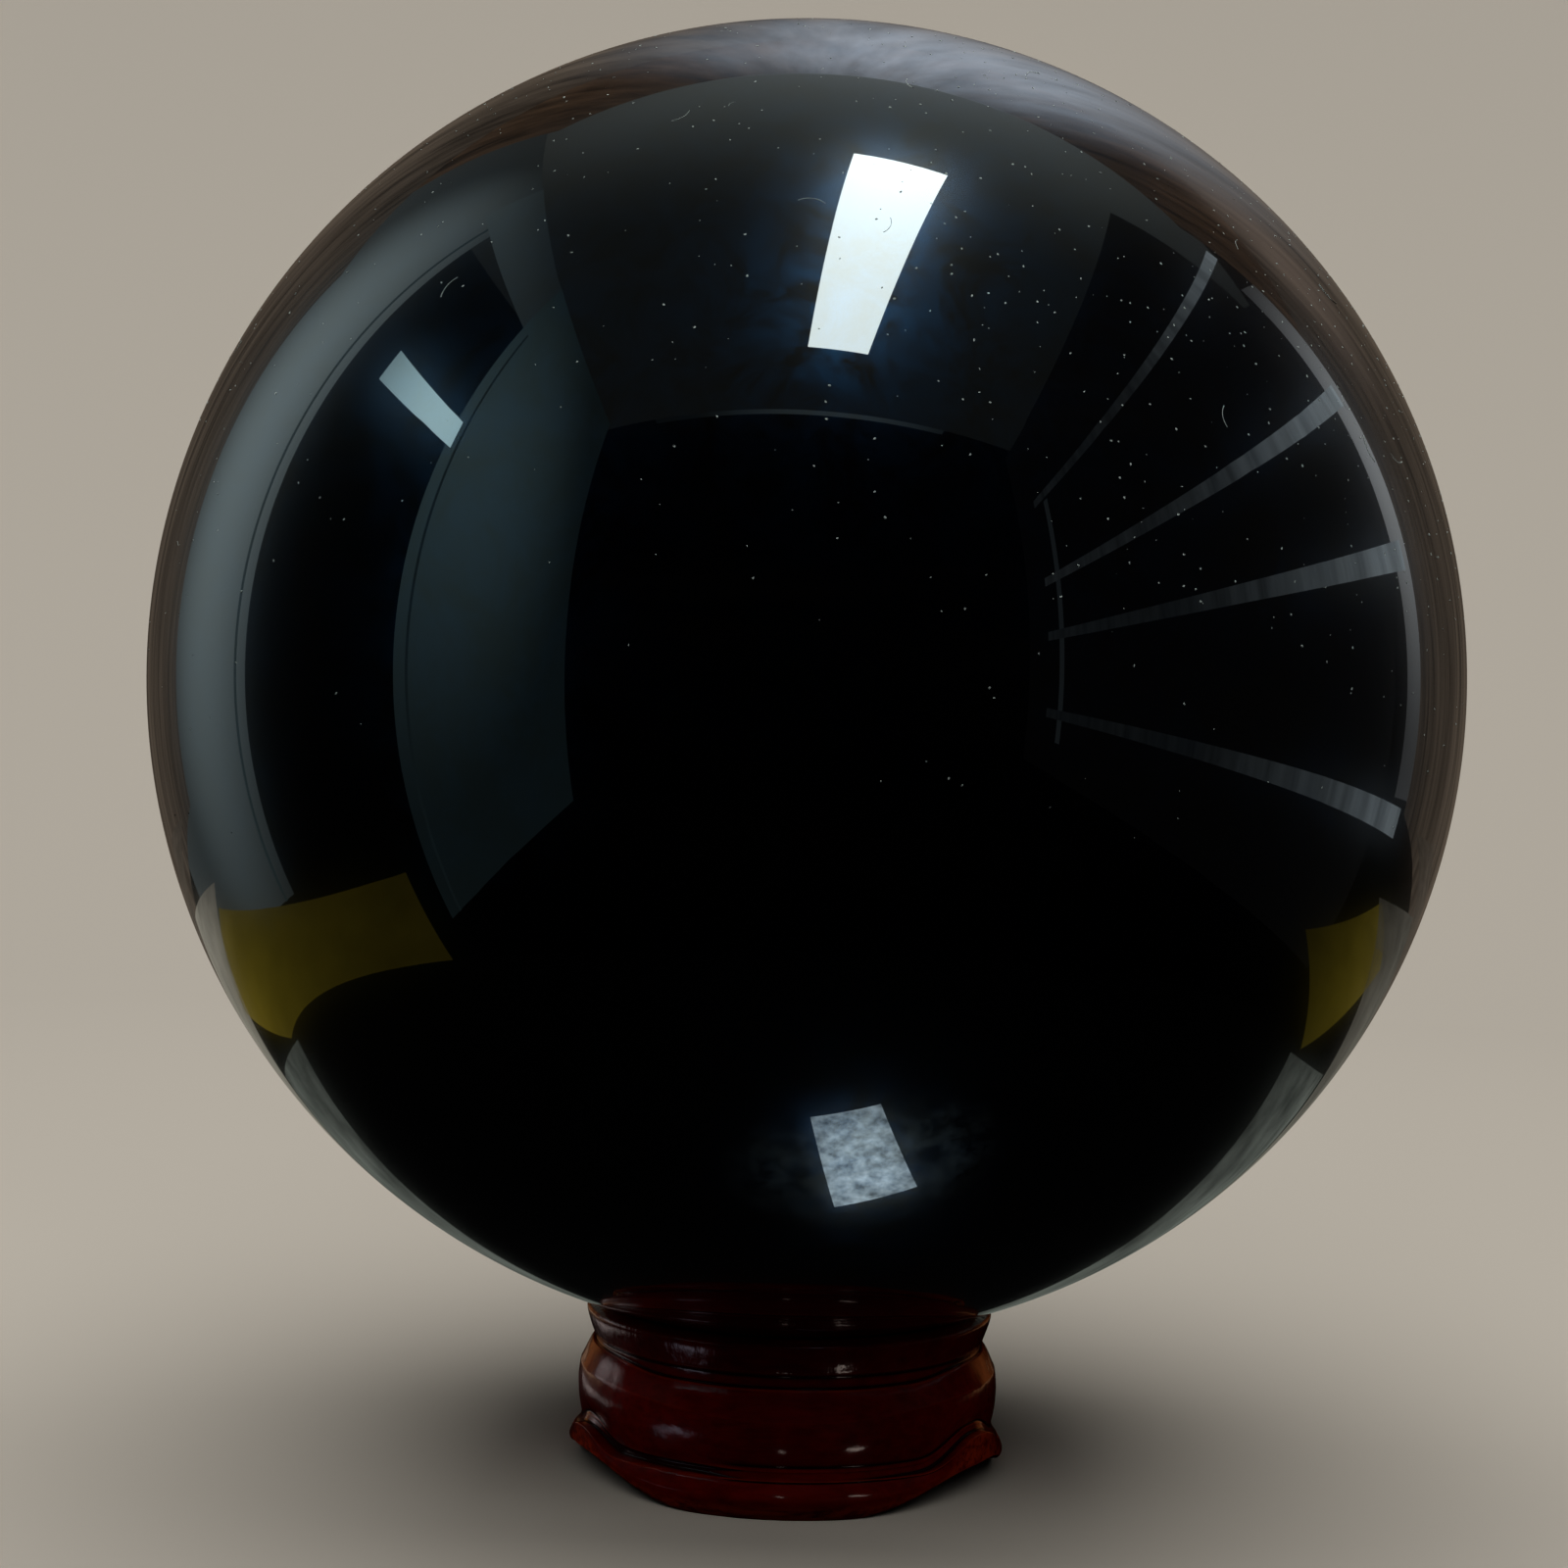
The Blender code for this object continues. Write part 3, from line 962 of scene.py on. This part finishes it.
def card(name, low, high, brightness, tint, turn=0, lit=BALL_PIECES, **fading):
    """A glowing card between two corners, given from the ball's centre. It faces along its shortest side."""
    low, high = Vector(low), Vector(high)
    span = high - low
    facing = min(range(3), key=lambda part: span[part])
    tilt = ((0, math.pi / 2, turn), (math.pi / 2, 0, turn), (0, 0, turn))[facing]
    deselect_all()
    bpy.ops.mesh.primitive_plane_add(size=1, location=BALL_CENTRE + (low + high) / 2, rotation=tilt)
    made = name_new(name)
    sides = ((span.z, span.y), (span.x, span.z), (span.x, span.y))[facing]
    made.scale = (*sides, 1)
    finish_card(made, lit, tint, brightness, **fading)


def panel_lamp(name, place, tilt, size, brightness, tint, lit, gleams=True):
    """A lamp that lights only some pieces. Untilted it faces down. One that makes no gleams is a wash."""
    deselect_all()
    bpy.ops.object.light_add(type="AREA", location=BALL_CENTRE + Vector(place), rotation=tilt)
    lamp = name_new(name)
    lamp.data.shape = "RECTANGLE"
    lamp.data.size, lamp.data.size_y = size
    lamp.data.color = linear(tint)[:3]
    lamp.data.energy = brightness * math.pi * size[0] * size[1]
    lamp.visible_camera = False
    lamp.visible_glossy = gleams
    light_only(lamp, lit)


def light_above(brightness):
    """The long lamp, and a wide grey panel round it with a brighter front edge."""
    turn = math.radians(-2.8)
    place = (0.211, -0.569, 1.55)
    panel_lamp("lamp", place, (0, 0, turn), (0.29, 1.27), brightness, "#f0fffe", BALL_PIECES)
    fade = {"middle": (0.15, 0.65, RIG_TOP), "reach": (1.5, 1.1, 1), "ends": 0.2}
    card("top_panel", (-1.3, -1.8, RIG_TOP), (1.7, 0.9, RIG_TOP), 0.41, "#dceae6", **fade)
    fade = {"middle": (0.25, 0, RIG_TOP), "reach": (1, FAR, 1), "ends": 0.1}
    card("top_edge", (-0.9, -1.85, RIG_TOP), (0.95, -1.8, RIG_TOP), 0.6, "#d2eef5", **fade)


def light_behind():
    """Two brown panels, one over the other, with a bright glow before their top."""
    card("rear_low", (-1.05, REAR, -0.16), (0.92, REAR, 0.72), 0.085, "#ffe4c8", pleats=0.7, fold=0.03)
    card("rear_high", (-0.62, REAR, 0.72), (0.92, REAR, 1.25), 0.08, "#ffc99b", pleats=1, fold=0.04)
    fade = {"middle": (0.1, 0.61, 0.95), "reach": (0.44, FAR, 0.8), "ends": 0, "pleats": 0.4, "sheer": True}
    card("rear_glow", (-0.4, 0.61, 0.15), (0.7, 0.61, 1.24), 1.1, "#dcecff", **fade)
    fade = {"middle": (0.5, 0.6, 0.55), "reach": (0.25, FAR, 0.3), "ends": 0, "sheer": True}
    card("rear_glow_right", (0.2, 0.6, 0.2), (0.8, 0.6, 0.9), 0.2, "#ffe2cf", **fade)


def light_left():
    """Two tall pale panels with a fine line on each, a panel along the top between them, and a level bar."""
    turn = math.radians(-8.6)
    fade = {"middle": (-0.9, 0.3, 0.55), "reach": (FAR, 0.45, 1.25), "ends": 0.1}
    card("left_strip", (-0.88, 0.14, -0.4), (-0.88, 0.9, RIG_TOP), 0.82, "#e2fbff", turn, **fade)
    card("strip_line", (-0.926, 0.187, -0.4), (-0.926, 0.2, RIG_TOP), 0.15, "#c4f6ff", turn)
    fade = {"middle": (-1, 0.3, 1.2), "reach": (FAR, 1.6, 0.5), "ends": 0.4}
    card("left_top", (-0.981, -0.66, 1.25), (-0.981, 0.3, RIG_TOP), 0.42, "#d4f3fa", turn, **fade)
    fade = {"middle": (-1, -0.7, 0.7), "reach": (FAR, 1.1, 1.2), "ends": 0.18}
    card("left_front", (-1.12, -1.75, -0.75), (-1.12, -0.48, RIG_TOP), 0.62, "#c4f6ff", turn, **fade)
    card("front_line", (-1.031, -0.553, -0.75), (-1.031, -0.54, 1.25), 0.15, "#c4f6ff", turn)
    fade = {"middle": (-1, -0.45, 0.7), "reach": (FAR, 0.6, FAR), "ends": 0.15}
    card("left_bar", (-0.99, -0.52, 0.65), (-0.99, -0.03, 0.75), 8, "#cdf7ff", turn, **fade)


def light_right():
    """A tall pale panel at the end, and four thin level bars and an upright one before a dim panel."""
    fade = {"middle": (1, 0.64, 0.5), "reach": (FAR, 0.3, 0.6), "ends": 0.15}
    card("right_end", (1, 0.55, -0.15), (1, 0.74, 1), 1, "#f2f8fb", **fade)
    turn = math.radians(13.5)
    card("right_panel", (1.225, -1.95, -0.5), (1.225, 0.45, RIG_TOP), 0.012, "#ffffff", turn)
    for height, brightness in ((-0.16, 0.8), (0.22, 1.1), (0.5, 1.6), (0.95, 1.1)):
        fade = {"middle": (1, 0.75, height), "reach": (FAR, 1.3, 1), "ends": 0.13, "pleats": 0.4}
        low, high = (1.05, -1.5, height - 0.02), (1.05, 0.53, height + 0.025)
        card("right_bar", low, high, brightness, "#d3e4ec", turn, **fade)
    card("bar_end", (1.3, -1.4, -0.3), (1.3, -1.35, 0.95), 0.22, "#c8dde6", turn)


def light_table(low):
    """Low cards round the stand's foot, which glow in the ball's lower half: pale behind, yellow at the
    sides, a dark round mat over them, and the lamp's broken glint on the mat."""
    fade = {"middle": (-0.22, 0.14, low), "reach": (0.5, FAR, FAR), "ends": 0.35, "pleats": 0.35}
    card("rear_table_near", (-0.27, 0.13, low), (0.27, 0.36, low), 0.3, "#f2ecd8", **fade)
    card("rear_table_far", (-0.45, 0.36, low), (0.45, 0.6, low), 0.1, "#f0dcc4", pleats=0.35)
    yellow = {"brightness": 0.17, "tint": "#ffe14b", "pleats": 0.2}
    card("yellow_left", (-0.205, -0.1, low), (-0.125, 0.14, low), turn=math.radians(17), **yellow)
    fade = {"middle": (0.2, 0.14, low), "reach": (FAR, 0.2, FAR), "ends": 0.3}
    card("yellow_right", (0.159, 0.013, low), (0.235, 0.163, low), turn=math.radians(-27), **yellow, **fade)
    deselect_all()
    place = BALL_CENTRE + Vector((0, 0, low + 0.2 * MM))
    bpy.ops.mesh.primitive_circle_add(vertices=96, radius=0.133, fill_type="NGON", location=place)
    finish_card(name_new("mat"), ["polished_ball"], "#ffffff", 0.002)
    low += 0.4 * MM
    card("mat_back", (-0.125, 0.028, low), (0.125, 0.12, low), 0.14, "#e4f0e2", pleats=0.6, fold=0.02)
    fade = {"middle": (0.016, -0.061, low), "reach": (0.016, 0.022, FAR), "ends": 0.5}
    grain = {"pleats": 0.8, "fold": 0.003}
    turn = math.radians(-6)
    card("mat_glint", (0.0085, -0.074, low), (0.0235, -0.049, low), 5, "#d8f2ff", turn, **fade, **grain)
    low += 0.1 * MM
    middle = Vector((0.018, -0.06, low))
    half = Vector((0.03, 0.02, 0))
    fade = {"middle": middle, "reach": (half.x, half.y, FAR), "ends": 0, "sheer": True}
    grain = {"pleats": 2, "fold": 0.006}
    card("glint_halo", middle - half, middle + half, 0.15, "#c4e2ea", **fade, **grain)


def light_stand(low):
    """Lamps for the lacquer alone. Washes bring out its red, most of them from above the horizon, so that
    the ball shades the rim, and soft cards draw its gleams."""
    for name, heading, rise, size, brightness in (
        ("wash_front", 8, 41, (0.3, 0.2), 0.28),
        ("wash_low", 35, 6, (0.3, 0.1), 0.5),
        ("wash_left", -72, 31, (0.2, 0.22), 2.1),
        ("wash_right", 80, 33, (0.25, 0.2), 1),
        ("wash_back", 180, 33, (0.3, 0.2), 1.5),
    ):
        heading, rise = math.radians(heading), math.radians(rise)
        level = WASH_DISTANCE * math.cos(rise)
        up = low + WASH_DISTANCE * math.sin(rise)
        place = (level * math.sin(heading), -level * math.cos(heading), up)
        tilt = (math.pi / 2 - rise, 0, heading)
        panel_lamp(name, place, tilt, size, brightness, "#ffece0", STAND_PIECES, gleams=False)
    for name, place, size, brightness, tint in (
        ("gleam_rim_left", (-0.05, 0.014, low + 1 * MM), (0.012, 0.03, 0), 1, "#f6e2de"),
        ("gleam_rim_front", (-0.029, -0.032, low + 1 * MM), (0.0105, 0.009, 0), 0.8, "#e0dcf4"),
        ("gleam_left", (-0.28, 0.11, low + 0.046), (0, 0.13, 0.1), 0.9, "#f4e2e2"),
        ("warm_left", (-0.17, 0.2, low + 0.03), (0.1, 0, 0.09), 0.28, "#ffa05f"),
        ("warm_right", (0.17, 0.2, low + 0.03), (0.1, 0, 0.1), 0.2, "#ff8f4c"),
        ("table_left", (-0.1, 0.08, low + 1 * MM), (0.07, 0.08, 0), 0.55, "#ffcba4"),
        ("table_right", (0.12, 0.1, low + 1 * MM), (0.09, 0.09, 0), 0.4, "#ffb27a"),
        ("spark", (0.0128, -0.0268, low + 3.6 * MM), (0.0026, 0.001, 0), 3, "#ffe9dc"),
        ("small_spark", (0.001, -0.0285, low + 3.6 * MM), (0.0007, 0.0006, 0), 2.5, "#ffe9dc"),
    ):
        place, size = Vector(place), Vector(size)
        reach = [max(part, 1 * MM) for part in size]
        fade = {"middle": place, "reach": reach, "ends": 0, "pleats": 0.6, "fold": 0.01, "sheer": True}
        card(name, place - size, place + size, brightness, tint, lit=STAND_PIECES, **fade)


def make_lights(sizes):
    """Soft fill for the floor and the wall, then the lights that only the ball or the stand shows."""
    panel_lamp("floor_fill", (0, 0, 2.6), (0, 0, 0), (3.2, 3.2), sizes.fill, "#fff8ee", STAGE_PIECES)
    tilt = (math.radians(50), 0, 0)
    panel_lamp("front_fill", (0, -2.4, 1.9), tilt, (2.4, 1.6), sizes.fill, "#fff8ee", STAGE_PIECES)
    light_above(sizes.lamp)
    light_behind()
    light_left()
    light_right()
    table = TABLE_GAP - BALL_CENTRE.z
    light_table(table)
    light_stand(table)


def make_camera():
    """Stands where the photograph was taken from."""
    away = Vector((math.sin(CAMERA_TURN), -math.cos(CAMERA_TURN), 0))
    offset = math.cos(CAMERA_BELOW) * away - math.sin(CAMERA_BELOW) * Vector((0, 0, 1))
    place = BALL_CENTRE + CAMERA_DISTANCE * offset
    to_ball = -offset
    heading = math.atan2(to_ball.x, to_ball.y) - AIM_LEFT
    pitch = math.asin(to_ball.z) - AIM_DOWN
    forward = Vector(
        (math.sin(heading) * math.cos(pitch), math.cos(heading) * math.cos(pitch), math.sin(pitch))
    )
    level = Vector((math.cos(heading), -math.sin(heading), 0))
    upright = level.cross(forward)
    right = math.cos(CAMERA_ROLL) * level + math.sin(CAMERA_ROLL) * upright
    up = math.cos(CAMERA_ROLL) * upright - math.sin(CAMERA_ROLL) * level
    deselect_all()
    bpy.ops.object.camera_add()
    camera = name_new("camera")
    camera.matrix_world = Matrix.Translation(place) @ Matrix((right, up, -forward)).transposed().to_4x4()
    camera.data.sensor_width = SENSOR_MM
    camera.data.lens = LENS_MM
    camera.data.clip_start = 0.01
    camera.data.clip_end = 20
    bpy.context.scene.camera = camera


class OBSIDIAN_PT_panel(bpy.types.Panel):
    """Lists the pieces with their sizes and colours"""

    bl_label = "Obsidian ball"
    bl_idname = "OBSIDIAN_PT_panel"
    bl_space_type = "VIEW_3D"
    bl_region_type = "UI"
    bl_category = "Obsidian"

    def draw(self, context):
        for group, operator in GROUPS:
            box = self.layout.box()
            box.operator(operator)
            settings = getattr(context.scene, group)
            for name in settings.__annotations__:
                box.prop(settings, name)


GROUPS = (
    ("obsidian_ball", "obsidian.ball"),
    ("obsidian_dust", "obsidian.dust"),
    ("obsidian_stand", "obsidian.stand"),
    ("obsidian_stage", "obsidian.stage"),
)
SETTINGS = {
    "obsidian_ball": BallSettings,
    "obsidian_dust": DustSettings,
    "obsidian_stand": StandSettings,
    "obsidian_stage": StageSettings,
}
CLASSES = (
    *SETTINGS.values(),
    OBSIDIAN_OT_ball,
    OBSIDIAN_OT_dust,
    OBSIDIAN_OT_stand,
    OBSIDIAN_OT_stage,
    OBSIDIAN_PT_panel,
)


def register():
    for kind in CLASSES:
        bpy.utils.register_class(kind)
    for name, group in SETTINGS.items():
        setattr(bpy.types.Scene, name, PointerProperty(type=group))


def unregister():
    for name in SETTINGS:
        delattr(bpy.types.Scene, name)
    for kind in reversed(CLASSES):
        bpy.utils.unregister_class(kind)


def main():
    """Makes all the pieces and the stage."""
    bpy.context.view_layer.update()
    register()
    bpy.ops.obsidian.ball()
    bpy.ops.obsidian.dust()
    bpy.ops.obsidian.stand()
    bpy.ops.obsidian.stage()


if __name__ == "__main__":
    main()
